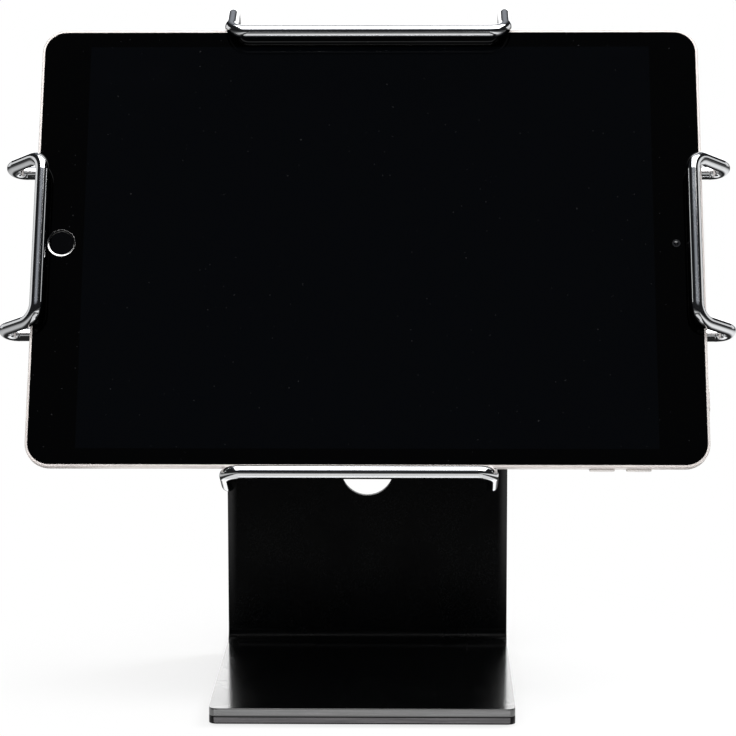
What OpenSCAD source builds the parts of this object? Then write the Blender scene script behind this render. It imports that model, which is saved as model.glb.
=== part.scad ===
// Counter stand that locks a tablet in landscape behind four sliding wire brackets.
// Millimetres, +Z up. The stand faces -Y, +X is the viewer's right, and the origin lies
// in the middle of the underside of the rubber pad that the stand rests on.
// Everything behind the glass is placed in the tablet's own axes: x to the right,
// y up along the glass and z out of the glass, with the glass at z = 0.

/* [Base] */
// Width of the base plate and of the bent sheet
stand_width = 106; // [98:1:116]
// Depth of the foot, from its front edge to the back of the upright
foot_depth = 106; // [96:1:112]
// Depth of the base plate, which runs on behind the upright
base_depth = 160; // [156:1:190]
// Thickness of the base plate
base_thick = 2.7; // [2.2:0.1:5]
// Thickness of the rubber pad under the base plate
pad_thick = 0.6; // [0.4:0.1:3]
// Margin between the edges of the pad and of the base plate
pad_margin = 3; // [1:0.5:8]
// Radius of the corners of the foot and of the base plate
corner_radius = 3; // [1:0.5:8]
// Distance of the base screws from the edges of the foot
base_screw_inset = 16; // [10:1:24]
// Diameter of the two holes for bolts into a counter
counter_hole = 6.6; // [5.5:0.1:8.5]
// Spacing of the counter holes
counter_spacing = 70; // [50:1:76]
// Distance of the counter holes from the back edge of the base plate
counter_inset = 18; // [14:1:24]

/* [Sheet] */
// Thickness of the bent sheet
sheet_thick = 2.8; // [2.4:0.1:3.5]
// Inside radius of the two bends
bend_radius = 4; // [1.5:0.1:5]
// Lean of the tablet and of the head panel from the vertical, in degrees
lean = 25.8; // [22:0.1:30]
// Height of the middle of the glass above the floor
glass_height = 157.8; // [150:0.1:185]
// How far the middle of the glass stands in front of the upright
glass_forward = 1.4; // [-2:0.1:3]
// Length of the head panel above its bend
panel_length = 96; // [90:1:104]
// Radius of the head panel's top corners
panel_corner = 8; // [2:0.5:14]
// Diameter of the cable hole in the upright
cable_hole = 20; // [10:0.5:26]
// Height of the middle of the cable hole above the foot
cable_hole_height = 65.5; // [40:0.5:72]

/* [Holder] */
// Width of the holder behind the tablet
holder_width = 130; // [128:1:150]
// Reach of the holder below the middle of the glass
holder_low = 48; // [46:1:54]
// Reach of the holder above the middle of the glass
holder_high = 72; // [68:1:78]
// Radius of the holder's corners
holder_corner = 6; // [3:0.5:10]
// Thickness of the soft pads between the holder and the tablet
soft_pad_thick = 0.9; // [0.6:0.1:2]
// Thickness of the cover that closes the front channels
cover_thick = 1.3; // [1.2:0.1:2]
// Wall between the front channels and the rear bores
layer_wall = 2.4; // [1.5:0.1:4]
// Wall behind the rear bores
back_wall = 2.25; // [1.5:0.1:4]
// Spacing of the square pattern of screws that hold the holder on the panel
panel_screw_spacing = 75; // [75:1:78]

/* [Brackets] */
// Diameter of the bracket wire
rod_diameter = 5; // [4.5:0.1:5.4]
// Radial clearance of the wire in its channels and bores
rod_clearance = 0.06; // [0.04:0.01:0.1]
// Gap between the glass and the bars in front of it
bar_gap = 4.9; // [4.6:0.1:7]
// Distance of the side bars inside the tablet's ends
side_inset = 3.5; // [2.5:0.1:3.6]
// Distance of the top bar inside the tablet's top edge
top_inset = 4; // [3:0.1:4.1]
// Spacing of the side brackets' legs
side_spacing = 65; // [63:0.5:67]
// Spacing of the top bracket's legs
top_spacing = 104.6; // [102:0.2:108]
// Spacing of the bottom bracket's legs
bottom_spacing = 96.9; // [94:0.1:100]
// Sideways place of the bottom bracket
bottom_shift = -2.3; // [-3:0.1:3]
// Distance of the bottom bar's middle in front of the glass
bottom_bar_forward = 3; // [2.6:0.1:5]
// Gap between the tablet's bottom edge and the wire under it
bottom_gap = 0.3; // [0.3:0.05:1]
// Angle of the hooks, back from the plane of the glass, in degrees
hook_angle = 43; // [40:0.5:44]
// Middle radius of the bends between a bar and its hooks
bar_bend = 6; // [4:0.1:7]
// Middle radius of the turn at the tip of a hook
tip_bend = 4.4; // [3.6:0.1:4.8]
// Middle radius of the bottom bracket's bends
bottom_bend = 5; // [4:0.1:6.5]

/* [Tablet] */
// Length of the tablet
tablet_length = 250.6; // [246:0.1:254]
// Height of the tablet on its long side
tablet_height = 174.1; // [171:0.1:178]
// Thickness of the tablet
tablet_thick = 6.1; // [5.6:0.1:8]
// Corner radius of the tablet
tablet_corner = 9.2; // [8.6:0.1:14]
// Radius of the tablet's rounded back edges
back_edge = 4; // [2:0.1:4.4]
// Width of the metal rim round the glass
rim_width = 0.9; // [0.6:0.05:1.6]
// Thickness of the cover glass
glass_thick = 0.8; // [0.5:0.05:1]
// Distance of the screen from the tablet's short ends
end_bezel = 18.6; // [17:0.1:26]
// Distance of the screen from the tablet's long edges
side_bezel = 7; // [6.5:0.1:12]
// Sideways play of the tablet in its brackets
tablet_play = 0.5; // [-0.5:0.1:0.5]
// Outer diameter of the ring round the home button
home_ring = 10.6; // [8:0.1:11]
// Distance of the home button and of the front camera from the tablet's ends
home_inset = 10.3; // [10:0.1:12]
// Length of the three edge buttons
edge_button_length = 9.3; // [7:0.1:11]
// Travel of the buttons
button_travel = 0.3; // [0.2:0.05:0.5]

/* [Hidden] */
$fn = 48;
tiny = 0.01;

// Levels and planes of the base and of the sheet
base_bottom = pad_thick;
sheet_bottom = base_bottom + base_thick;
foot_top = sheet_bottom + sheet_thick;
front_edge = -base_depth / 2;
upright_back = front_edge + foot_depth;
upright_front = upright_back - sheet_thick;
outer_bend = bend_radius + sheet_thick;
bend_lap = 0.4;
bend_thinning = 0.04;
panel_spare = 1;
counter_y = base_depth / 2 - counter_inset;

// Middle of the glass
glass_y = upright_front - glass_forward;
glass_z = glass_height;

// Depths behind the glass
rod_r = rod_diameter / 2;
channel_r = rod_r + rod_clearance;
cover_gap = 0.2;
tablet_back = -tablet_thick;
cover_front = tablet_back - soft_pad_thick;
body_front = cover_front - cover_thick;
leg_level = body_front - cover_gap - rod_r;
low_leg_level = leg_level - rod_diameter - layer_wall - 2 * rod_clearance;
body_back = low_leg_level - channel_r - back_wall;
body_thick = body_front - body_back;

// Place of the lean bend: where the fronts of the upright and of the head panel meet
bend_v = (glass_forward + body_back * cos(lean)) / sin(lean);
bend_z = glass_z + bend_v * cos(lean) + body_back * sin(lean);
bend_tangent = outer_bend * tan(lean / 2);
panel_screw_v = panel_screw_spacing / 2;

// Bars and legs of the brackets
bead_rise = 0.05;
bead_gap = 0.2;
bar_level = bar_gap + rod_r;
side_bar_u = tablet_length / 2 - side_inset;
top_bar_v = tablet_height / 2 - top_inset;
bottom_bar_v = -tablet_height / 2 - bottom_gap - rod_r;
side_leg_v = side_spacing / 2;
side_leg_end_u = 8;
end_wall = 2;
top_leg_end_v = side_leg_v + channel_r + end_wall + 1;
bottom_leg_end_v = 0;
bottom_leg_u = [for (side = [-1, 1]) bottom_shift + side * bottom_spacing / 2];
holder_middle_v = (holder_high - holder_low) / 2;

// Screws
m3_r = 1.5;
m4_r = 2;
thread_gap = 0.05;
clear_gap = 0.25;
base_head_r = 4;
base_head_h = 2;
cover_screw_edge = 6;
cover_screw_length = 7;
panel_screw_depth = 9;
button_head_r = 3.8;
button_head_h = 2.2;
lock_length = 8;
lock_tip_gap = 0.2;
lock_edge = 6;
top_lock_edge = 10;
lock_u = holder_width / 2 - lock_edge;
lock_v = holder_high - top_lock_edge;
low_lock_v = -holder_low + lock_edge;
socket_r = 1.25;
socket_depth = 1.8;

// Inside of the tablet
glass_gap = 0.1;
glass_length = tablet_length - 2 * rim_width;
glass_height_v = tablet_height - 2 * rim_width;
rim_chamfer = 0.25;
shell_wall = 4.3;
floor_wall = 1.1;
floor_level = tablet_back + floor_wall;
cavity_corner = tablet_corner - shell_wall;
inner_end = tablet_length / 2 - shell_wall;
screen_length = tablet_length - 2 * end_bezel;
screen_height = tablet_height - 2 * side_bezel;
display_thick = 1.2;
display_level = -glass_thick;
home_u = -tablet_length / 2 + home_inset;
camera_u = tablet_length / 2 - home_inset;
home_ring_r = home_ring / 2;
home_ring_wall = 0.75;
home_ring_slope = 20;
fit_gap = 0.1;
home_button_r = home_ring_r - home_ring_wall - fit_gap;
home_button_thick = 1.1;
home_sink = 0.3;
camera_lens_r = 1.5;
rear_lens_r = 4;
rear_camera_inset = 12.3;
rear_camera_proud = 0.8;
edge_level = -tablet_thick / 2;
edge_button_thick = 2;
edge_button_proud = 0.5;
edge_slot_gap = 0.15;
edge_flange = 0.8;
flange_level = -shell_wall - fit_gap / 2 - edge_flange;
over_travel = 0.05;
volume_from_end = [26.1, 39.5];
power_from_corner = 27;
port_width = 9;
port_thick = 3.2;
port_wall = 0.3;
port_depth = 4.4;
speaker_hole_r = 0.6;
speaker_hole_depth = 1;
speaker_pitch = 2.2;
speaker_holes = 8;
speaker_inset = 49;
speaker_v = tablet_height / 2 - speaker_inset;
speaker_gap = 0.3;
speaker_length = 12;
board_gap = 0.7;
board_length = 11;
board_u = inner_end - speaker_gap - speaker_length - board_gap - board_length / 2;

// Shared shapes

// Rounded rectangle about the origin
module rounded_rect(length, height, radius) {
    square([length - 2 * radius, height], center = true);
    square([length, height - 2 * radius], center = true);
    for (x = [-1, 1], y = [-1, 1])
        translate([x * (length / 2 - radius), y * (height / 2 - radius)])
            circle(radius);
}

// Strip with round ends, along x
module round_strip(length, width) {
    square([length - width, width], center = true);
    for (x = [-1, 1])
        translate([x * (length - width) / 2, 0])
            circle(width / 2);
}

// Part of a flat ring between two angles less than a half turn apart
module ring_sector(inner, outer, from, to) {
    reach = 2 * outer;
    intersection() {
        difference() {
            circle(outer);
            circle(inner);
        }
        polygon([
            [0, 0],
            [reach * cos(from), reach * sin(from)],
            [reach * cos((from + to) / 2), reach * sin((from + to) / 2)],
            [reach * cos(to), reach * sin(to)]
        ]);
    }
}

// Places children in the tablet's axes
module on_tablet() {
    translate([0, glass_y, glass_z])
        rotate([90 - lean, 0, 0])
            children();
}

// Places children on the tablet itself, which has some play in its brackets
module in_tablet() {
    on_tablet()
        translate([tablet_play, 0, 0])
            children();
}

// A plate with its front face at a level behind the glass
module tablet_plate(level, thick) {
    translate([0, 0, level - thick])
        linear_extrude(thick)
            children();
}

// A straight drill from a level behind the glass to a deeper one
module drill(u, v, level, depth, radius) {
    translate([u, v, level - depth])
        cylinder(r = radius, h = depth);
}

// Bent wire. Each step is [straight length, bend radius, bend angle, roll before the bend].
// The wire starts along z and a bend turns it towards its own x. A bend that isn't square ends in
// a low bead, as a bender's die leaves one, and the next straight starts inside the bead.
module wire(steps, at = 0, lead = 0) {
    if (at < len(steps)) {
        run = steps[at][0];
        radius = steps[at][1];
        angle = steps[at][2];
        next_lead = angle == 90 ? 0 : bead_gap;
        translate([0, 0, lead])
            cylinder(r = rod_r, h = run - lead);
        if (angle > 0)
            translate([0, 0, run])
                rotate([0, 0, steps[at][3]]) {
                    translate([radius, 0, 0])
                        rotate([90, 0, 180])
                            rotate_extrude(angle = angle)
                                translate([radius, 0])
                                    circle(rod_r);
                    translate([radius * (1 - cos(angle)), 0, radius * sin(angle)])
                        rotate([0, angle, 0]) {
                            if (next_lead > 0)
                                translate([0, 0, next_lead / 2])
                                    sphere(rod_r + bead_rise);
                            wire(steps, at + 1, next_lead);
                        }
                }
    }
}

// A bracket as two mirrored halves that meet in the middle of its bar.
// Its bar lies along x, outward is y and z is out of the glass.
module mirrored_wire(steps) {
    for (side = [0, 1])
        mirror([side, 0, 0])
            rotate([0, 90, 0])
                wire(steps);
}

// Bracket with hooks over an edge: bar, slanting hook, tight tip and a leg back inwards
module hook_bracket(spacing, leg_reach) {
    depth = bar_level - leg_level;
    tip_turn = 180 - hook_angle;
    tip_tangent = tip_bend * tan(tip_turn / 2);
    color("gainsboro")
        mirrored_wire([
            [spacing / 2 - bar_bend, bar_bend, 90, 90 - hook_angle],
            [depth / sin(hook_angle) - bar_bend - tip_tangent, tip_bend, tip_turn, -90],
            [depth / tan(hook_angle) + leg_reach - tip_tangent, 0, 0, 0]
        ]);
}

// Countersunk screw, its flat head at z = 0 and its tip up
module countersunk(head_r, head_h, shank_r, length) {
    cylinder(r1 = head_r, r2 = shank_r, h = head_h);
    cylinder(r = shank_r, h = length);
}

// Base

function base_screw_places() = [
    for (x = [-1, 1], y = [front_edge + base_screw_inset, upright_front - base_screw_inset])
        [x * (stand_width / 2 - base_screw_inset), y]
];

module base_pad() {
    hole_margin = 4;
    color("dimgray")
        linear_extrude(pad_thick)
            difference() {
                rounded_rect(stand_width - 2 * pad_margin, base_depth - 2 * pad_margin, corner_radius);
                for (x = [-1, 1])
                    translate([x * counter_spacing / 2, counter_y])
                        circle(counter_hole / 2 + hole_margin);
            }
}

module base_plate() {
    color("black")
        difference() {
            translate([0, 0, base_bottom])
                linear_extrude(base_thick)
                    rounded_rect(stand_width, base_depth, corner_radius);
            for (x = [-1, 1])
                translate([x * counter_spacing / 2, counter_y, 0])
                    cylinder(d = counter_hole, h = foot_top);
            for (place = base_screw_places())
                translate([place[0], place[1], base_bottom - tiny])
                    countersunk(base_head_r + thread_gap, base_head_h, m4_r + clear_gap, base_thick + 1);
        }
}

module base_screws() {
    color("silver")
        for (place = base_screw_places())
            translate([place[0], place[1], base_bottom])
                countersunk(base_head_r - thread_gap, base_head_h, m4_r - thread_gap, base_screw_reach());
}

// The base screws stop inside the sheet, so the foot stays plain on top
function base_screw_reach() = base_thick + sheet_thick * 0.7;

// Bent sheet: foot, upright and leaning head panel in one piece
module stand_sheet() {
    color("black")
        difference() {
            rotate([90, 0, 90])
                translate([0, 0, -stand_width / 2])
                    linear_extrude(stand_width)
                        sheet_profile();
            foot_corners();
            on_tablet()
                panel_cuts();
            translate([0, upright_back + 1, foot_top + cable_hole_height])
                rotate([90, 0, 0])
                    cylinder(d = cable_hole, h = sheet_thick + 2);
            for (place = base_screw_places())
                translate([place[0], place[1], sheet_bottom - 1])
                    cylinder(r = m4_r, h = 1 + sheet_thick * 0.75);
        }
}

// Side view of the sheet, y to the right and z up. The lean bend is a little thinner than the sheet,
// as a pressed bend is, and the straights lap into it.
module sheet_profile() {
    foot_bend = [upright_front - bend_radius, foot_top + bend_radius];
    lean_bend = [upright_front + outer_bend, bend_z - bend_tangent];
    translate([front_edge, sheet_bottom])
        square([foot_bend[0] - front_edge, sheet_thick]);
    translate(foot_bend)
        ring_sector(bend_radius, outer_bend, -90, 0);
    translate([upright_front, foot_bend[1]])
        square([sheet_thick, lean_bend[1] + bend_lap - foot_bend[1]]);
    translate(lean_bend)
        ring_sector(bend_radius + bend_thinning, outer_bend - bend_thinning, 180 - lean, 180);
    translate([upright_front, bend_z])
        rotate(-lean)
            translate([0, bend_tangent - bend_lap])
                square([sheet_thick, panel_length + panel_spare - bend_tangent + bend_lap]);
}

// What is cut away to round the foot's two front corners
module foot_corners() {
    for (side = [0, 1])
        mirror([side, 0, 0])
            translate([stand_width / 2 - corner_radius, front_edge + corner_radius, sheet_bottom - 1])
                linear_extrude(sheet_thick + 2)
                    corner_waste(corner_radius);
}

// The waste outside a rounded corner that points to +x and -y
module corner_waste(radius) {
    difference() {
        translate([0, -radius - 1])
            square([radius + 1, radius + 1]);
        circle(radius);
    }
}

// Screw holes, top edge and rounded top corners of the head panel, in the tablet's axes
module panel_cuts() {
    top = bend_v + panel_length;
    for (u = [-1, 1], v = [-1, 1])
        drill(u * panel_screw_v, v * panel_screw_v, body_back + 1, sheet_thick + 2, m4_r + clear_gap);
    translate([-stand_width / 2 - 1, top, body_back - sheet_thick - 1])
        cube([stand_width + 2, panel_spare + 1, sheet_thick + 2]);
    for (side = [0, 1])
        mirror([side, 0, 0])
            translate([stand_width / 2 - panel_corner, top - panel_corner, body_back - sheet_thick - 1])
                linear_extrude(sheet_thick + 2)
                    mirror([0, 1, 0])
                        corner_waste(panel_corner);
}

// Holder

function cover_screw_places() = [
    for (u = [-1, 1], v = [-holder_low + cover_screw_edge, holder_high - cover_screw_edge])
        [u * (holder_width / 2 - cover_screw_edge), v]
];

module holder_outline() {
    translate([0, holder_middle_v])
        rounded_rect(holder_width, holder_high + holder_low, holder_corner);
}

// Channel for a leg in the front layer: half round at the bottom and open to the cover
module leg_channel(length) {
    linear_extrude(length) {
        circle(channel_r);
        translate([-channel_r, 0])
            square([2 * channel_r, body_front - leg_level + 1]);
    }
}

module holder_body() {
    pocket_wall = 4;
    pocket_floor = 3.3;
    pocket_depth = body_thick - pocket_floor;
    pocket_length = panel_screw_spacing;
    low_pocket_v = side_leg_v - channel_r - pocket_wall;
    high_pocket_v = [panel_screw_v + m4_r + pocket_wall, holder_high - pocket_wall];
    color("dimgray")
        on_tablet()
            difference() {
                tablet_plate(body_front, body_thick)
                    holder_outline();
                side_channels();
                top_channels();
                bottom_bores();
                tablet_plate(body_front + 1, pocket_depth + 1)
                    rounded_rect(pocket_length, 2 * low_pocket_v, pocket_wall);
                tablet_plate(body_front + 1, pocket_depth + 1)
                    translate([0, (high_pocket_v[0] + high_pocket_v[1]) / 2])
                        rounded_rect(pocket_length, high_pocket_v[1] - high_pocket_v[0], pocket_wall);
                for (place = cover_screw_places())
                    drill(place[0], place[1], body_front + 1, cover_screw_length + 2, m3_r);
                for (u = [-1, 1], v = [-1, 1])
                    drill(u * panel_screw_v, v * panel_screw_v, body_back + panel_screw_depth,
                          panel_screw_depth + 1, m4_r);
                lock_holes();
            }
}

module side_channels() {
    for (v = [-1, 1])
        translate([-holder_width / 2 - 1, v * side_leg_v, leg_level])
            rotate([90, 0, 90])
                leg_channel(holder_width + 2);
}

module top_channels() {
    for (u = [-1, 1])
        translate([u * top_spacing / 2, holder_high + 1, leg_level])
            rotate([90, 0, 0])
                leg_channel(holder_high + 1 - top_leg_end_v + 1);
}

module bottom_bores() {
    for (u = bottom_leg_u)
        translate([u, bottom_leg_end_v + 1, low_leg_level])
            rotate([90, 0, 0])
                cylinder(r = channel_r, h = holder_low + bottom_leg_end_v + 2);
}

// Holes of the lock screws: from the back for the side and top legs, from the sides for the bottom legs
module lock_holes() {
    for (place = rear_lock_places())
        drill(place[0], place[1], leg_level, leg_level - body_back + 1, m4_r);
    for (side = [0, 1])
        low_lock_axis(side)
            cylinder(r = m4_r, h = holder_width);
}

function rear_lock_places() = concat(
    [for (u = [-1, 1], v = [-1, 1]) [u * lock_u, v * side_leg_v]],
    [for (u = [-1, 1]) [u * top_spacing / 2, lock_v]]
);

// Starts on a bottom leg's middle and looks out to the holder's side
module low_lock_axis(side) {
    translate([bottom_leg_u[side], low_lock_v, low_leg_level])
        rotate([0, side == 0 ? -90 : 90, 0])
            children();
}

// Grub screw with a hexagon socket, its tip at z = 0
module grub_screw() {
    difference() {
        cylinder(r = m4_r - thread_gap, h = lock_length);
        translate([0, 0, lock_length - socket_depth])
            cylinder(r = socket_r, h = socket_depth + 1, $fn = 6);
    }
}

module lock_screws() {
    tip = rod_r + lock_tip_gap;
    color("darkgray")
        on_tablet() {
            for (place = rear_lock_places())
                translate([place[0], place[1], leg_level - tip])
                    rotate([180, 0, 0])
                        grub_screw();
            for (side = [0, 1])
                low_lock_axis(side)
                    translate([0, 0, tip])
                        grub_screw();
        }
}

module holder_cover() {
    color("black")
        on_tablet()
            difference() {
                tablet_plate(cover_front, cover_thick)
                    holder_outline();
                for (place = cover_screw_places())
                    translate([place[0], place[1], cover_front + tiny])
                        rotate([180, 0, 0])
                            countersunk(cover_head_r() + thread_gap, cover_thick,
                                        m3_r + thread_gap, cover_thick + 1);
            }
}

function cover_head_r() = m3_r + cover_thick;

module cover_screws() {
    color("silver")
        on_tablet()
            for (place = cover_screw_places())
                translate([place[0], place[1], cover_front])
                    rotate([180, 0, 0])
                        countersunk(cover_head_r() - thread_gap, cover_thick,
                                    m3_r - thread_gap, cover_screw_length);
}

// Four soft pads that the tablet's back leans on
module soft_pads() {
    pad_edge = 5;
    pad_corner = 3;
    pad_length = holder_width / 3;
    pad_height = (holder_high + holder_low) * 0.15;
    pad_u = holder_width * 0.23;
    low_v = -holder_low + pad_edge + pad_height / 2;
    high_v = holder_high - pad_edge - pad_height / 2;
    color("darkslategray")
        on_tablet()
            for (u = [-1, 1], v = [low_v, high_v])
                tablet_plate(tablet_back, soft_pad_thick)
                    translate([u * pad_u, v])
                        rounded_rect(pad_length, pad_height, pad_corner);
}

// Button-head screws through the head panel into the holder
module holder_screws() {
    panel_back = body_back - sheet_thick;
    tip_gap = 1;
    color("darkgray")
        on_tablet()
            for (u = [-1, 1], v = [-1, 1])
                translate([u * panel_screw_v, v * panel_screw_v, 0])
                    difference() {
                        union() {
                            drill(0, 0, body_back + panel_screw_depth - tip_gap,
                                  panel_screw_depth - tip_gap + sheet_thick, m4_r - thread_gap);
                            translate([0, 0, panel_back - button_head_h])
                                cylinder(r1 = button_head_r - 1.2, r2 = button_head_r, h = button_head_h);
                        }
                        translate([0, 0, panel_back - button_head_h - 1])
                            cylinder(r = socket_r, h = 1 + socket_depth, $fn = 6);
                    }
}

// Brackets

module top_bracket() {
    on_tablet()
        translate([0, top_bar_v, bar_level])
            hook_bracket(top_spacing, top_bar_v - top_leg_end_v);
}

module left_bracket() {
    on_tablet()
        translate([-side_bar_u, 0, bar_level])
            rotate([0, 0, 90])
                hook_bracket(side_spacing, side_bar_u - side_leg_end_u);
}

module right_bracket() {
    on_tablet()
        translate([side_bar_u, 0, bar_level])
            rotate([0, 0, -90])
                hook_bracket(side_spacing, side_bar_u - side_leg_end_u);
}

// Shelf under the tablet: bar in front, legs back under the edge and up into the holder
module bottom_bracket() {
    depth = bottom_bar_forward - low_leg_level;
    color("gainsboro")
        on_tablet()
            translate([bottom_shift, bottom_bar_v, bottom_bar_forward])
                mirrored_wire([
                    [bottom_spacing / 2 - bottom_bend, bottom_bend, 90, 0],
                    [depth - 2 * bottom_bend, bottom_bend, 90, 90],
                    [bottom_leg_end_v - bottom_bar_v - bottom_bend, 0, 0, 0]
                ]);
}

// Tablet

// Section through the tablet's edge, x from the inside to the outer face
module edge_section() {
    inner = tablet_corner - back_edge;
    translate([0, tablet_back])
        square([inner, tablet_thick]);
    translate([inner, tablet_back + back_edge])
        ring_sector(0, back_edge, -90, 0);
    polygon([
        [0, tablet_back + back_edge],
        [tablet_corner, tablet_back + back_edge],
        [tablet_corner, -rim_chamfer],
        [tablet_corner - rim_chamfer, 0],
        [0, 0]
    ]);
}

// Slab with the edge section all round
module tablet_slab() {
    x = tablet_length / 2 - tablet_corner;
    y = tablet_height / 2 - tablet_corner;
    translate([-x, -y, tablet_back])
        cube([2 * x, 2 * y, tablet_thick]);
    for (side = [0, 1])
        rotate([0, 0, 180 * side]) {
            edge_run([x, -y], 0, 2 * y);
            edge_run([x, y], 90, 2 * x);
            edge_corner([x, y], 0);
            edge_corner([-x, y], 90);
        }
}

// Straight edge that starts at a point and runs to the left of its outward direction
module edge_run(from, turn, length) {
    translate([from[0], from[1], 0])
        rotate([0, 0, turn])
            rotate([90, 0, 0])
                translate([0, 0, -length])
                    linear_extrude(length)
                        edge_section();
}

module edge_corner(at, turn) {
    translate([at[0], at[1], 0])
        rotate([0, 0, turn])
            rotate_extrude(angle = 90)
                edge_section();
}

module tablet_shell() {
    color("mistyrose")
        in_tablet()
            difference() {
                tablet_slab();
                tablet_plate(1, 1 + glass_thick)
                    rounded_rect(glass_length, glass_height_v, tablet_corner - rim_width);
                tablet_plate(0, -floor_level)
                    rounded_rect(tablet_length - 2 * shell_wall, tablet_height - 2 * shell_wall,
                                 cavity_corner);
                drill(camera_u, rear_camera_v(), floor_level + 1, floor_wall + 2, rear_lens_r + fit_gap);
                for (place = edge_button_places())
                    on_edge(place)
                        edge_slot(edge_button_length, edge_button_thick);
                on_edge(port_place())
                    edge_slot(port_width, port_thick);
                speaker_hole_rows();
            }
}

// Rows of blind holes in the short edges
module speaker_hole_rows() {
    row = (speaker_holes - 1) * speaker_pitch;
    for (turn = [0, 180], v = [-1, 1], i = [0 : speaker_holes - 1])
        on_edge([turn, tablet_length / 2, v * speaker_v - row / 2 + i * speaker_pitch])
            translate([0, 0, -speaker_hole_depth])
                cylinder(r = speaker_hole_r, h = speaker_hole_depth + 1, $fn = 16);
}

function rear_camera_v() = -tablet_height / 2 + rear_camera_inset;

// Places on the tablet's edge: direction in degrees, distance of the edge, and distance along it
function edge_button_places() = [
    [-90, tablet_height / 2, tablet_length / 2 - volume_from_end[0]],
    [-90, tablet_height / 2, tablet_length / 2 - volume_from_end[1]],
    [0, tablet_length / 2, -tablet_height / 2 + power_from_corner]
];
function port_place() = [180, tablet_length / 2, 0];

// Puts z out of the tablet's edge and x along it, at the middle of its thickness
module on_edge(place) {
    rotate([0, 0, place[0]])
        translate([place[1], place[2], edge_level])
            rotate([90, 0, 90])
                children();
}

module edge_slot(length, width) {
    translate([0, 0, -shell_wall - 1])
        linear_extrude(shell_wall + 3)
            round_strip(length + 2 * edge_slot_gap, width + 2 * edge_slot_gap);
}

// Button through the shell's wall, with a flange that keeps it in
module edge_button(place) {
    flange_lip = 0.8;
    color("mistyrose")
        in_tablet()
            on_edge(place) {
                translate([0, 0, -shell_wall - fit_gap / 2])
                    linear_extrude(shell_wall + fit_gap / 2 + edge_button_proud)
                        round_strip(edge_button_length, edge_button_thick);
                translate([0, 0, flange_level])
                    linear_extrude(edge_flange)
                        round_strip(edge_button_length + 2 * flange_lip, edge_button_thick + flange_lip);
            }
}

module volume_up_button() {
    edge_button(edge_button_places()[0]);
}

module volume_down_button() {
    edge_button(edge_button_places()[1]);
}

module power_button() {
    edge_button(edge_button_places()[2]);
}

// Three small switches that stand on the floor of the shell behind the edge buttons
module edge_switches() {
    switch_depth = 1.2;
    switch_length = edge_button_length * 0.6;
    switch_low = floor_level - edge_level;
    switch_high = display_level - display_thick - fit_gap - edge_level;
    color("silver")
        in_tablet()
            for (place = edge_button_places())
                on_edge(place)
                    translate([-switch_length / 2, switch_low,
                               flange_level - button_travel - over_travel - switch_depth])
                        cube([switch_length, switch_high - switch_low, switch_depth]);
}

module tablet_glass() {
    color("black")
        in_tablet()
            difference() {
                tablet_plate(0, glass_thick)
                    rounded_rect(glass_length - 2 * glass_gap, glass_height_v - 2 * glass_gap,
                                 tablet_corner - rim_width - glass_gap);
                drill(home_u, 0, 1, glass_thick + 2, home_ring_r + thread_gap);
                drill(camera_u, 0, 1, glass_thick + 2, camera_lens_r + fit_gap);
            }
}

module display_panel() {
    frame_border = 0.6;
    color("midnightblue")
        in_tablet()
            tablet_plate(display_level, display_thick)
                rounded_rect(screen_length + 2 * frame_border, screen_height + 2 * frame_border,
                             frame_border);
}

// Two flat cells side by side on the floor of the shell
module battery() {
    cell_thick = 2.3;
    cell_gap = 4;
    cell_corner = 3;
    board_clearance = 3;
    edge_clearance = 24;
    cell_length = board_u - board_length / 2 - board_clearance - cell_gap / 2;
    cell_height = tablet_height - 2 * edge_clearance;
    color("slategray")
        in_tablet()
            for (u = [-1, 1])
                tablet_plate(floor_level + cell_thick, cell_thick)
                    translate([u * (cell_length + cell_gap) / 2, 0])
                        rounded_rect(cell_length, cell_height, cell_corner);
}

// Board with its largest chips, in the strip beside the cells
module logic_board() {
    edge_clearance = 35;
    board_height = tablet_height - 2 * edge_clearance;
    board_thick = 0.8;
    chip_thick = 0.9;
    chip_margin = 1.5;
    color("seagreen")
        in_tablet() {
            tablet_plate(floor_level + board_thick, board_thick)
                translate([board_u, 0])
                    square([board_length, board_height], center = true);
            for (i = [-1 : 1])
                tablet_plate(floor_level + board_thick + chip_thick, chip_thick)
                    translate([board_u, i * board_height / 4])
                        square([board_length - 2 * chip_margin, board_height / 8], center = true);
        }
}

// Four speaker boxes behind the rows of holes in the short edges
module speakers() {
    box_height = 24;
    box_thick = 2.6;
    color("darkslategray")
        in_tablet()
            for (u = [-1, 1], v = [-1, 1])
                tablet_plate(floor_level + box_thick, box_thick)
                    translate([u * (inner_end - speaker_gap - speaker_length / 2), v * speaker_v])
                        square([speaker_length, box_height], center = true);
}

module home_button() {
    color("black")
        in_tablet()
            drill(home_u, 0, -home_sink, home_button_thick, home_button_r);
}

// Ring with a slope down to the button
module home_ring_trim() {
    inner = home_ring_r - home_ring_wall;
    color("silver")
        in_tablet()
            translate([home_u, 0, 0])
                rotate_extrude()
                    polygon([
                        [inner, -glass_thick],
                        [home_ring_r, -glass_thick],
                        [home_ring_r, 0],
                        [inner, -home_ring_wall * tan(home_ring_slope)]
                    ]);
}

// Switch on the floor of the shell, just behind the home button
module home_switch() {
    switch_size = 6;
    top = -home_sink - home_button_thick - button_travel - over_travel;
    color("silver")
        in_tablet()
            tablet_plate(top, top - floor_level)
                translate([home_u, 0])
                    square(switch_size, center = true);
}

module front_camera() {
    module_size = 6;
    module_level = -2.4;
    lens_sink = 0.1;
    color("darkslateblue")
        in_tablet() {
            drill(camera_u, 0, -lens_sink, -lens_sink - module_level, camera_lens_r);
            tablet_plate(module_level, module_level - floor_level)
                translate([camera_u, 0])
                    square(module_size, center = true);
        }
}

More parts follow.
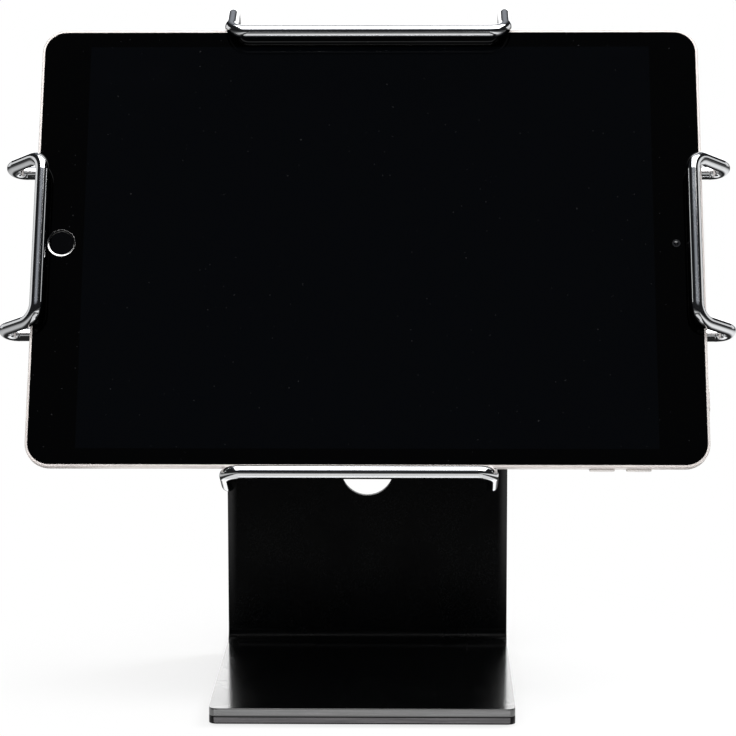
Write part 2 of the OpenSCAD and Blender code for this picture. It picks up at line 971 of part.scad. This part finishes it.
// Rear camera: barrel in the back wall, with a lens sunk in its face
module rear_camera() {
    barrel_inside = 1;
    lens_r = 2.4;
    lens_sink = 0.3;
    color("darkslategray")
        in_tablet()
            difference() {
                drill(camera_u, rear_camera_v(), floor_level + barrel_inside,
                      barrel_inside + floor_wall + rear_camera_proud, rear_lens_r);
                drill(camera_u, rear_camera_v(), tablet_back - rear_camera_proud + lens_sink,
                      lens_sink + 1, lens_r);
            }
}

// Metal cup of the charging socket
module charge_port() {
    inner_width = port_width - 2 * port_wall;
    inner_thick = port_thick - 2 * port_wall;
    color("silver")
        in_tablet()
            on_edge(port_place())
                difference() {
                    translate([0, 0, -port_depth])
                        linear_extrude(port_depth)
                            round_strip(port_width, port_thick);
                    translate([0, 0, -port_depth + port_wall])
                        linear_extrude(port_depth)
                            round_strip(inner_width, inner_thick);
                }
}

base_pad();
base_plate();
base_screws();
stand_sheet();
holder_body();
holder_cover();
cover_screws();
soft_pads();
holder_screws();
lock_screws();
top_bracket();
bottom_bracket();
left_bracket();
right_bracket();
tablet_shell();
tablet_glass();
display_panel();
battery();
logic_board();
speakers();
home_button();
home_ring_trim();
home_switch();
front_camera();
rear_camera();
volume_up_button();
volume_down_button();
power_button();
edge_switches();
charge_port();
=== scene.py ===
"""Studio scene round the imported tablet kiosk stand: finishes, stage, lights and camera.

Metres, in the stand's own frame: +Z up, the stand faces -Y and rests on Z = 0.
"""

import math

import bpy
from mathutils import Euler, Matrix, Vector

# The picture is taken to be this many pixels wide and high
IMAGE_SIZE = 736
MM = 0.001

ORIGIN = Vector((0.0, 0.0, 0.0))
VERTICAL = Vector((0.0, 0.0, 1.0))

# Tablet axes, as in the part's source
LEAN = math.radians(25.8)
GLASS_MIDDLE = Vector((0.5, 21.8, 157.8)) * MM
ALONG = Vector((1.0, 0.0, 0.0))
UPWARD = Vector((0.0, math.sin(LEAN), math.cos(LEAN)))
OUTWARD = Vector((0.0, -math.cos(LEAN), math.sin(LEAN)))
SCREEN_SIZE = (213.4 * MM, 160.1 * MM)

# Edges of the foot and of the plate under it
FRONT_EDGE = -80.0 * MM
SIDE_EDGE = 53.0 * MM
PLATE_BOTTOM = 0.6 * MM
PLATE_TOP = 3.3 * MM
FOOT_TOP = 6.1 * MM


# Node helpers

RANGE_SOCKETS = ("From Min", "From Max", "To Min", "To Max")


class Paint:
    """A node material with one principled shader and short calls for the nodes round it."""

    def __init__(self, name, colour, roughness, metallic=0.0):
        self.material = bpy.data.materials.new(name)
        self.material.use_nodes = True
        self.tree = self.material.node_tree
        self.shader = self.tree.nodes["Principled BSDF"]
        self.place = self.tree.nodes.new("ShaderNodeTexCoord").outputs["Object"]
        self.set("Base Color", (*colour, 1.0))
        self.set("Roughness", roughness)
        self.set("Metallic", metallic)

    def set(self, socket, value):
        self.shader.inputs[socket].default_value = value

    def link(self, source, target):
        self.tree.links.new(source, target)

    def noise(self, size, detail=3.0, stretch=None):
        """Noise with features of about this size in metres; stretch scales it along the axes."""
        node = self.tree.nodes.new("ShaderNodeTexNoise")
        node.inputs["Scale"].default_value = 1.0 / size
        node.inputs["Detail"].default_value = detail
        where = self.place
        if stretch:
            mapping = self.tree.nodes.new("ShaderNodeMapping")
            mapping.inputs["Scale"].default_value = stretch
            self.link(where, mapping.inputs["Vector"])
            where = mapping.outputs["Vector"]
        self.link(where, node.inputs["Vector"])
        return node.outputs["Fac"]

    def spread(self, fac, low, high, to_low=0.0, to_high=1.0):
        """Maps a value from one range to another, held at the ends."""
        node = self.tree.nodes.new("ShaderNodeMapRange")
        node.interpolation_type = "SMOOTHSTEP"
        for socket, value in zip(RANGE_SOCKETS, (low, high, to_low, to_high)):
            node.inputs[socket].default_value = value
        self.link(fac, node.inputs["Value"])
        return node.outputs["Result"]

    def combine(self, operation, first, second):
        """Sum, product or the like of two values, held between 0 and 1."""
        node = self.tree.nodes.new("ShaderNodeMath")
        node.operation = operation
        node.use_clamp = True
        self.link(first, node.inputs[0])
        self.link(second, node.inputs[1])
        return node.outputs["Value"]

    def blend(self, fac, first, second):
        """Colour between two, each given as a colour or as a socket."""
        node = self.tree.nodes.new("ShaderNodeMix")
        node.data_type = "RGBA"
        self.link(fac, node.inputs["Factor"])
        for name, value in (("A", first), ("B", second)):
            socket = [s for s in node.inputs if s.name == name and s.type == "RGBA"][0]
            if isinstance(value, bpy.types.NodeSocket):
                self.link(value, socket)
            else:
                socket.default_value = (*value, 1.0)
        return [s for s in node.outputs if s.type == "RGBA"][0]

    def bump(self, height, depth, strength=1.0):
        node = self.tree.nodes.new("ShaderNodeBump")
        node.inputs["Strength"].default_value = strength
        node.inputs["Distance"].default_value = depth
        self.link(height, node.inputs["Height"])
        self.link(node.outputs["Normal"], self.shader.inputs["Normal"])
        return node.outputs["Normal"]

    def colour(self, socket):
        self.link(socket, self.shader.inputs["Base Color"])

    def roughness(self, socket):
        self.link(socket, self.shader.inputs["Roughness"])

    def distance_along(self, axis, origin):
        """Signed distance along an axis from a point, in metres."""
        offset = self.tree.nodes.new("ShaderNodeVectorMath")
        offset.operation = "SUBTRACT"
        self.link(self.place, offset.inputs[0])
        offset.inputs[1].default_value = origin
        dot = self.tree.nodes.new("ShaderNodeVectorMath")
        dot.operation = "DOT_PRODUCT"
        self.link(offset.outputs["Vector"], dot.inputs[0])
        dot.inputs[1].default_value = axis
        return dot.outputs["Value"]

    def distance_from(self, centre):
        node = self.tree.nodes.new("ShaderNodeVectorMath")
        node.operation = "DISTANCE"
        self.link(self.place, node.inputs[0])
        node.inputs[1].default_value = centre
        return node.outputs["Value"]

    def inside(self, axis, origin, half, soft):
        """1 within half of a point along an axis, falling to 0 over a soft edge."""
        size = self.tree.nodes.new("ShaderNodeMath")
        size.operation = "ABSOLUTE"
        self.link(self.distance_along(axis, origin), size.inputs[0])
        return self.spread(size.outputs["Value"], half - soft, half + soft, 1.0, 0.0)


# Finishes


def powder_coat(name, dark, light, gloss, shine):
    """Black powder coat: orange peel, fine speckle and a little handling haze."""
    paint = Paint(name, dark, gloss)
    paint.set("Specular IOR Level", shine)
    speckle = paint.spread(paint.noise(0.35 * MM, 2.0), 0.56, 0.7)
    paint.colour(paint.blend(speckle, dark, light))
    paint.roughness(paint.spread(paint.noise(22 * MM, 5.0), 0.3, 0.75, gloss - 0.04, gloss + 0.1))
    paint.bump(paint.noise(0.55 * MM, 2.5), 0.02 * MM, 0.35)
    return paint


def wear_and_light_edges(paint, worn_and_lit, bottom, top):
    """Lightens the coat in streaks on the front edge, between two heights: partly wear that thins the coat,
    partly a painted highlight. Towards the upright's sides, higher up, it paints a soft sheen of reflected
    light.
    """
    # Front edge: streaks painted light, partly worn coat and partly a painted highlight where the rounded
    # edge catches the light.
    at_front = paint.distance_along((0.0, -1.0, 0.0), (0.0, FRONT_EDGE, 0.0))
    front = paint.spread(at_front, -0.35 * MM, -0.15 * MM)
    centre = (0.0, 0.0, (bottom + top) / 2)
    flat = paint.inside(VERTICAL, centre, (top - bottom) / 2 - 0.42 * MM, 0.12 * MM)
    streak = paint.spread(paint.noise(0.8 * MM, 4.0, (0.04, 1.0, 1.0)), 0.3, 0.7, 0.65, 1.0)
    share = paint.combine("MULTIPLY", paint.combine("MULTIPLY", front, flat), streak)
    # Painted sheen: the coat is painted lighter near the upright's sides, more so higher up, in place of
    # light reflected from the sides.
    middle = paint.inside(ALONG, ORIGIN, SIDE_EDGE - 2.0 * MM, 2.2 * MM)
    upper = paint.spread(paint.distance_along(VERTICAL, ORIGIN), 10 * MM, 70 * MM)
    sides = paint.combine("MULTIPLY", paint.spread(middle, 0.0, 1.0, 0.35, 0.0), upper)
    coat = paint.shader.inputs["Base Color"].links[0].from_socket
    paint.colour(paint.blend(paint.combine("ADD", share, sides), coat, worn_and_lit))


def shine_foot(paint):
    """Adds the grainy shine that use has rubbed into the coat on the foot."""
    above_foot = paint.distance_along(VERTICAL, (0.0, 0.0, FOOT_TOP))
    on_foot = paint.spread(above_foot, 0.05 * MM, 0.25 * MM, 1.0, 0.0)
    paint.link(on_foot, paint.shader.inputs["Coat Weight"])
    paint.set("Coat IOR", 2.4)
    paint.set("Coat Roughness", 0.1)
    grain = paint.bump(paint.noise(0.5 * MM, 2.0), 0.03 * MM, 0.5)
    paint.link(grain, paint.shader.inputs["Coat Normal"])


def chrome(name):
    """Bright chrome over drawn wire: faint clouding and a few dull touches."""
    paint = Paint(name, (0.82, 0.83, 0.845), 0.045, 1.0)
    cloud = paint.noise(9 * MM, 4.0)
    touch = paint.spread(paint.noise(1.6 * MM, 5.0), 0.62, 0.8)
    paint.colour(paint.blend(touch, (0.83, 0.84, 0.855), (0.66, 0.665, 0.68)))
    paint.roughness(paint.spread(cloud, 0.35, 0.75, 0.07, 0.13))
    paint.bump(paint.noise(3 * MM, 2.0), 0.012 * MM, 0.3)
    return paint.material


def anodised(name, colour, grain=0.3):
    """Fine blasted and anodised aluminium, which scatters part of the light."""
    paint = Paint(name, colour, 0.34, 0.35)
    shade = tuple(0.9 * c for c in colour)
    paint.colour(paint.blend(paint.noise(30 * MM, 3.0), colour, shade))
    paint.roughness(paint.spread(paint.noise(12 * MM, 4.0), 0.3, 0.8, 0.29, 0.4))
    paint.bump(paint.noise(grain * MM, 1.5), 0.004 * MM, 0.12)
    return paint.material


def cover_glass(name):
    """Black glass with the switched-off screen just lighter behind it, and a few specks of dust."""
    border = (0.0002, 0.0002, 0.00025)
    screen = (0.0009, 0.0012, 0.0018)
    paint = Paint(name, border, 0.03)
    paint.set("IOR", 1.5)
    paint.set("Specular IOR Level", 0.05)
    across = paint.inside(ALONG, GLASS_MIDDLE, SCREEN_SIZE[0] / 2, 0.25 * MM)
    up = paint.inside(UPWARD, GLASS_MIDDLE, SCREEN_SIZE[1] / 2, 0.25 * MM)
    lit = paint.combine("MULTIPLY", across, up)
    dust = paint.spread(paint.noise(1.1 * MM, 1.0), 0.775, 0.81)
    paint.colour(paint.blend(dust, paint.blend(lit, border, screen), (0.02, 0.02, 0.021)))
    smear = paint.noise(28 * MM, 4.0, (1.0, 1.6, 1.6))
    paint.roughness(paint.spread(smear, 0.45, 0.75, 0.02, 0.075))
    return paint.material


def rubber(name, colour):
    paint = Paint(name, colour, 0.82)
    paler = tuple(1.6 * c for c in colour)
    paint.colour(paint.blend(paint.spread(paint.noise(4 * MM, 6.0), 0.45, 0.75), colour, paler))
    paint.roughness(paint.spread(paint.noise(15 * MM, 4.0), 0.3, 0.7, 0.74, 0.9))
    paint.bump(paint.noise(0.5 * MM, 3.0), 0.03 * MM, 0.5)
    return paint.material


def moulded(name, colour, roughness, grain=0.5):
    """Moulded plastic with a spark-eroded grain."""
    paint = Paint(name, colour, roughness)
    paler = tuple(1.35 * c for c in colour)
    paint.colour(paint.blend(paint.spread(paint.noise(14 * MM, 5.0), 0.4, 0.75), colour, paler))
    paint.roughness(paint.spread(paint.noise(9 * MM, 4.0), 0.3, 0.75, roughness - 0.07, roughness + 0.1))
    paint.bump(paint.noise(grain * MM, 3.0), 0.04 * MM, 0.45)
    return paint.material


def turned_steel(name, colour, roughness):
    """Plain or blackened steel with tool marks."""
    paint = Paint(name, colour, roughness, 1.0)
    marks = paint.noise(0.25 * MM, 2.0, (1.0, 1.0, 6.0))
    duller = tuple(0.75 * c for c in colour)
    paint.colour(paint.blend(paint.noise(3 * MM, 4.0), colour, duller))
    paint.roughness(paint.spread(marks, 0.3, 0.7, roughness - 0.05, roughness + 0.1))
    paint.bump(marks, 0.008 * MM, 0.3)
    return paint.material


def polished_black(name, colour, roughness):
    """Polished dark disc with faint smears."""
    paint = Paint(name, colour, roughness)
    paint.set("Specular IOR Level", 0.1)
    bluer = (colour[0], colour[1] * 1.1, colour[2] * 1.5)
    paint.colour(paint.blend(paint.noise(2.5 * MM, 3.0), colour, bluer))
    paint.roughness(paint.spread(paint.noise(4 * MM, 4.0), 0.35, 0.75, roughness * 0.7, roughness * 1.8))
    return paint.material


def camera_lens(name, along, upward, outward, radius):
    """Dark bulging lens in a grey ring; its place is in millimetres from the middle of the glass."""
    centre = GLASS_MIDDLE + (ALONG * along + UPWARD * upward + OUTWARD * outward) * MM
    paint = Paint(name, (0.002, 0.002, 0.003), 0.04)
    away = paint.distance_from(centre)
    ring = paint.spread(away, 0.7 * radius * MM, 0.85 * radius * MM)
    paint.colour(paint.blend(ring, (0.0015, 0.0015, 0.003), (0.012, 0.012, 0.0125)))
    paint.roughness(paint.spread(paint.noise(1.0 * MM, 3.0), 0.3, 0.7, 0.03, 0.07))
    bulge = 0.25 * radius * MM
    paint.bump(paint.spread(away, 0.0, 0.6 * radius * MM, 1.0, 0.0), bulge)
    return paint.material


def dress(nodes):
    """Gives each CAD node its finish."""
    coat = powder_coat("stand coat", (0.0006, 0.0007, 0.0008), (0.007, 0.0075, 0.008), 0.26, 0.05)
    # Light edge colours: partly worn coat, partly painted highlight on the front edges and painted sheen at
    # the upright's sides.
    wear_and_light_edges(coat, (0.136, 0.136, 0.138), PLATE_TOP, FOOT_TOP)
    shine_foot(coat)
    base_coat = powder_coat("base coat", (0.0020, 0.0020, 0.0022), (0.007, 0.007, 0.0075), 0.28, 0.15)
    wear_and_light_edges(base_coat, (0.16, 0.154, 0.16), PLATE_BOTTOM, PLATE_TOP)
    cover_coat = powder_coat("cover coat", (0.006, 0.006, 0.0062), (0.014, 0.014, 0.0145), 0.42, 0.22)
    wire = chrome("bracket chrome")
    shell = anodised("tablet anodising", (0.8, 0.742, 0.712))
    button = anodised("button anodising", (0.82, 0.78, 0.75), 0.2)
    dark_steel = turned_steel("blackened steel", (0.16, 0.16, 0.165), 0.34)
    bright_steel = turned_steel("plated steel", (0.62, 0.62, 0.63), 0.28)
    finishes = {
        "base_pad": rubber("pad rubber", (0.022, 0.022, 0.023)),
        "base_plate": base_coat.material,
        "base_screws": bright_steel,
        "stand_sheet": coat.material,
        "holder_body": moulded("holder nylon", (0.018, 0.018, 0.019), 0.5),
        "holder_cover": cover_coat.material,
        "cover_screws": bright_steel,
        "soft_pads": rubber("soft pad", (0.035, 0.035, 0.037)),
        "holder_screws": dark_steel,
        "lock_screws": dark_steel,
        "top_bracket": wire,
        "bottom_bracket": wire,
        "left_bracket": wire,
        "right_bracket": wire,
        "tablet_shell": shell,
        "tablet_glass": cover_glass("cover glass"),
        "display_panel": polished_black("screen back", (0.012, 0.013, 0.018), 0.12),
        "battery": moulded("cell wrap", (0.04, 0.04, 0.043), 0.45, 1.2),
        "logic_board": moulded("board mask", (0.02, 0.11, 0.05), 0.4, 0.8),
        "speakers": moulded("speaker box", (0.03, 0.03, 0.032), 0.5),
        "home_button": polished_black("home disc", (0.0006, 0.0006, 0.0008), 0.05),
        "home_ring_trim": turned_steel("home ring steel", (0.36, 0.355, 0.35), 0.12),
        "home_switch": bright_steel,
        "front_camera": camera_lens("front lens", 115.0, 0.0, -0.1, 1.5),
        "rear_camera": camera_lens("rear lens", 115.0, -74.75, -6.6, 2.4),
        "volume_up_button": button,
        "volume_down_button": button,
        "power_button": button,
        "edge_switches": bright_steel,
        "charge_port": turned_steel("socket steel", (0.45, 0.45, 0.46), 0.3),
    }
    for name, material in finishes.items():
        nodes[name].data.materials.clear()
        nodes[name].data.materials.append(material)


def soften_edges(nodes):
    """Breaks the sharp edges of the sheet metal and the moulded pieces, as coating and moulding do."""
    widths = {"stand_sheet": 0.45, "base_plate": 0.45, "holder_body": 0.5, "holder_cover": 0.25,
              "home_ring_trim": 0.06}
    for name, width in widths.items():
        weld = nodes[name].modifiers.new("weld", "WELD")
        weld.merge_threshold = 0.002 * MM
        bevel = nodes[name].modifiers.new("soft edge", "BEVEL")
        bevel.width = width * MM
        bevel.segments = 3
        bevel.limit_method = "ANGLE"
        bevel.angle_limit = math.radians(50)
        bevel.harden_normals = True


# Stage


class Nodes:
    """Short calls for the nodes of the stage's shaders."""

    def __init__(self, tree):
        self.tree = tree
        self.path = tree.nodes.new("ShaderNodeLightPath")
        where = tree.nodes.new("ShaderNodeTexCoord")
        self.place = where.outputs["Object"]
        self.direction = where.outputs["Generated"]

    def maths(self, operation, *values):
        node = self.tree.nodes.new("ShaderNodeMath")
        node.operation = operation
        for socket, value in zip(node.inputs, values):
            if isinstance(value, bpy.types.NodeSocket):
                self.tree.links.new(value, socket)
            else:
                socket.default_value = value
        return node.outputs["Value"]

    def product(self, first, *others):
        for other in others:
            first = self.maths("MULTIPLY", first, other)
        return first

    def total(self, first, *others):
        for other in others:
            first = self.maths("ADD", first, other)
        return first

    def axes(self, vector):
        node = self.tree.nodes.new("ShaderNodeSeparateXYZ")
        self.tree.links.new(vector, node.inputs["Vector"])
        return [node.outputs[axis] for axis in "XYZ"]

    def step(self, value, low, high, to_low=0.0, to_high=1.0):
        """Smooth step between two levels as a value passes from low to high."""
        node = self.tree.nodes.new("ShaderNodeMapRange")
        node.interpolation_type = "SMOOTHSTEP"
        for socket, number in zip(RANGE_SOCKETS, (low, high, to_low, to_high)):
            node.inputs[socket].default_value = number
        self.tree.links.new(value, node.inputs["Value"])
        return node.outputs["Result"]

    def band(self, value, low, high, soft=0.04):
        """1 between two levels, with soft ends."""
        rise = self.step(value, low - soft / 2, low + soft / 2)
        fall = self.step(value, high - soft / 2, high + soft / 2, 1.0, 0.0)
        return self.product(rise, fall)

    def light(self, kind, colour, strength):
        """A background or emission shader; its strength is a number or a socket."""
        node = self.tree.nodes.new(kind)
        node.inputs["Color"].default_value = (*colour, 1.0)
        if isinstance(strength, bpy.types.NodeSocket):
            self.tree.links.new(strength, node.inputs["Strength"])
        else:
            node.inputs["Strength"].default_value = strength
        return node.outputs[0]

    def mix(self, fac, first, second):
        node = self.tree.nodes.new("ShaderNodeMixShader")
        for socket, source in zip(node.inputs, (fac, first, second)):
            self.tree.links.new(source, socket)
        return node.outputs[0]

    def add(self, first, second):
        node = self.tree.nodes.new("ShaderNodeAddShader")
        self.tree.links.new(first, node.inputs[0])
        self.tree.links.new(second, node.inputs[1])
        return node.outputs[0]

    def seen(self):
        """1 for rays that show the stage as such: from the camera or through glass."""
        rays = [self.path.outputs[kind] for kind in ("Is Camera Ray", "Is Transmission Ray")]
        return self.maths("MAXIMUM", *rays)


def make_world():
    """White for the camera and soft light for matt faces.

    Mirrors see dark walls with a white sweep behind, boards at the sides, a dim ceiling and a box overhead.
    """
    world = bpy.data.worlds.new("studio")
    bpy.context.scene.world = world
    world.use_nodes = True
    tree = world.node_tree
    tree.nodes.remove(tree.nodes["Background"])
    nodes = Nodes(tree)
    x, y, z = nodes.axes(nodes.direction)
    aside = nodes.maths("ABSOLUTE", x)
    behind = nodes.maths("SUBTRACT", nodes.product(y, 0.5), aside)
    height = nodes.product(nodes.step(z, 0.0, 0.14, 0.5, 2.0), nodes.step(z, 0.4, 0.5, 1.0, 0.0))
    sweep = nodes.product(nodes.step(behind, -0.05, 0.05), height)
    side_boards = nodes.product(nodes.band(aside, 0.66, 0.97), nodes.band(z, -0.3, 0.4))
    side_boards = nodes.product(side_boards, nodes.step(y, 0.0, 0.1, 0.0, 0.75))
    tilt = nodes.maths("DIVIDE", y, nodes.maths("MAXIMUM", z, 0.05))
    overhead = nodes.product(nodes.band(tilt, -0.73, 0.33, 0.16), nodes.band(x, -0.35, 0.58, 0.1))
    overhead = nodes.product(overhead, nodes.step(z, 0.3, 0.4, 0.0, 6.0))
    ceiling = nodes.product(nodes.step(z, 0.48, 0.68), nodes.step(aside, 0.08, 0.6, 0.3, 0.0))
    kind = "ShaderNodeBackground"
    white = nodes.light(kind, (1.0, 1.0, 1.0), 1.0)
    soft = nodes.light(kind, (1.0, 1.0, 1.0), 0.55)
    bright = nodes.light(kind, (1.0, 1.0, 1.0), nodes.total(sweep, side_boards, overhead))
    dim = nodes.light(kind, (0.88, 0.92, 1.0), nodes.total(ceiling, 0.012))
    mirrored = nodes.mix(nodes.path.outputs["Is Glossy Ray"], soft, nodes.add(bright, dim))
    shown = nodes.mix(nodes.seen(), mirrored, white)
    tree.links.new(shown, tree.nodes["World Output"].inputs["Surface"])


def make_floor():
    """Pale floor that keeps the object's soft shadow and runs out into white.

    Mirrors see it lit in front of the stand, under it and close beside it.
    """
    size = 8.0
    mesh = bpy.data.meshes.new("floor")
    corners = [(-size, -size), (size, -size), (size, size), (-size, size)]
    mesh.from_pydata([(x, y, -0.05 * MM) for x, y in corners], [], [(0, 1, 2, 3)])
    floor = bpy.data.objects.new("floor", mesh)
    bpy.context.scene.collection.objects.link(floor)
    material = bpy.data.materials.new("pale floor")
    material.use_nodes = True
    tree = material.node_tree
    tree.nodes.remove(tree.nodes["Principled BSDF"])
    nodes = Nodes(tree)
    x, y, _ = nodes.axes(nodes.place)
    away = nodes.maths("SQRT", nodes.total(nodes.product(x, x), nodes.product(y, y)))
    share = nodes.product(nodes.seen(), nodes.step(away, 0.06, 0.17, 0.75, 1.0))
    matt = tree.nodes.new("ShaderNodeBsdfDiffuse")
    matt.inputs["Color"].default_value = (0.82, 0.82, 0.82, 1.0)
    glow = nodes.light("ShaderNodeEmission", (1.0, 1.0, 1.0), 1.0)
    aside = nodes.maths("ABSOLUTE", x)
    length = nodes.total(nodes.step(y, -0.38, -0.2, 0.1, 0.75), nodes.step(y, 0.0, 0.04, 0.0, 0.35))
    length = nodes.product(length, nodes.step(y, 0.1, 0.16, 1.0, 0.06))
    middle = nodes.product(length, nodes.step(aside, 0.105, 0.125, 1.0, 0.0))
    sides = nodes.product(nodes.step(aside, 0.17, 0.24), nodes.step(aside, 0.25, 0.8, 1.0, 0.06))
    sides = nodes.product(sides, nodes.step(x, -0.1, 0.1, 0.5, 0.9))
    mirrored = nodes.light("ShaderNodeEmission", (1.0, 1.0, 1.0), nodes.total(middle, sides, 0.02))
    plain = nodes.mix(share, matt.outputs[0], glow)
    shown = nodes.mix(nodes.path.outputs["Is Glossy Ray"], plain, mirrored)
    tree.links.new(shown, tree.nodes["Material Output"].inputs["Surface"])
    mesh.materials.append(material)


def add_lamp(name, azimuth, elevation, distance, size, power):
    """Soft box that looks at the tablet from a direction; azimuth 0 is the front, positive to the right."""
    target = Vector((0.0, 0.0, 0.12))
    turn = math.radians(azimuth)
    rise = math.radians(elevation)
    level = math.cos(rise)
    away = Vector((math.sin(turn) * level, -math.cos(turn) * level, math.sin(rise)))
    lamp = bpy.data.lights.new(name, "AREA")
    lamp.shape = "RECTANGLE"
    lamp.size, lamp.size_y = size
    lamp.energy = power
    holder = bpy.data.objects.new(name, lamp)
    holder.location = target + away * distance
    holder.rotation_euler = away.to_track_quat("Z", "Y").to_euler()
    holder.visible_glossy = False
    bpy.context.scene.collection.objects.link(holder)


def make_lamps():
    """The right box stands edge-on to the tablet, so the shadow is a thin wedge left of the foot."""
    add_lamp("right box", 115, 48, 1.5, (0.55, 0.55), 14)
    add_lamp("front box", -20, 40, 1.6, (1.2, 1.1), 7)
    add_lamp("top box", 170, 74, 1.5, (1.6, 1.0), 9)


def make_camera():
    """Camera at the photograph's viewpoint, from a solve of the tablet's and the foot's outlines."""
    focal_pixels = 2751
    camera = bpy.data.cameras.new("camera")
    camera.sensor_width = 36.0
    camera.lens = focal_pixels / IMAGE_SIZE * camera.sensor_width
    camera.clip_end = 50.0
    holder = bpy.data.objects.new("camera", camera)
    holder.location = Vector((20.0, -1003.2, 252.6)) * MM
    holder.rotation_euler = Euler([math.radians(a) for a in (82.115, 0.09, 1.085)])
    bpy.context.scene.collection.objects.link(holder)
    bpy.context.scene.camera = holder


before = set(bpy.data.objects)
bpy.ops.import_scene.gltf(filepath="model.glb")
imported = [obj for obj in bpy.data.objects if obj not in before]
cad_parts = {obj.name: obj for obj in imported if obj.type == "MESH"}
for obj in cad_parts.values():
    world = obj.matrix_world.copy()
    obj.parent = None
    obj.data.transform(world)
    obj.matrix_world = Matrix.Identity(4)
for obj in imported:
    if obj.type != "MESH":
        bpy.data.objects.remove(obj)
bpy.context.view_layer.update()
dress(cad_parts)
soften_edges(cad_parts)
make_world()
make_floor()
make_lamps()
make_camera()
bpy.context.scene.view_settings.view_transform = "Standard"
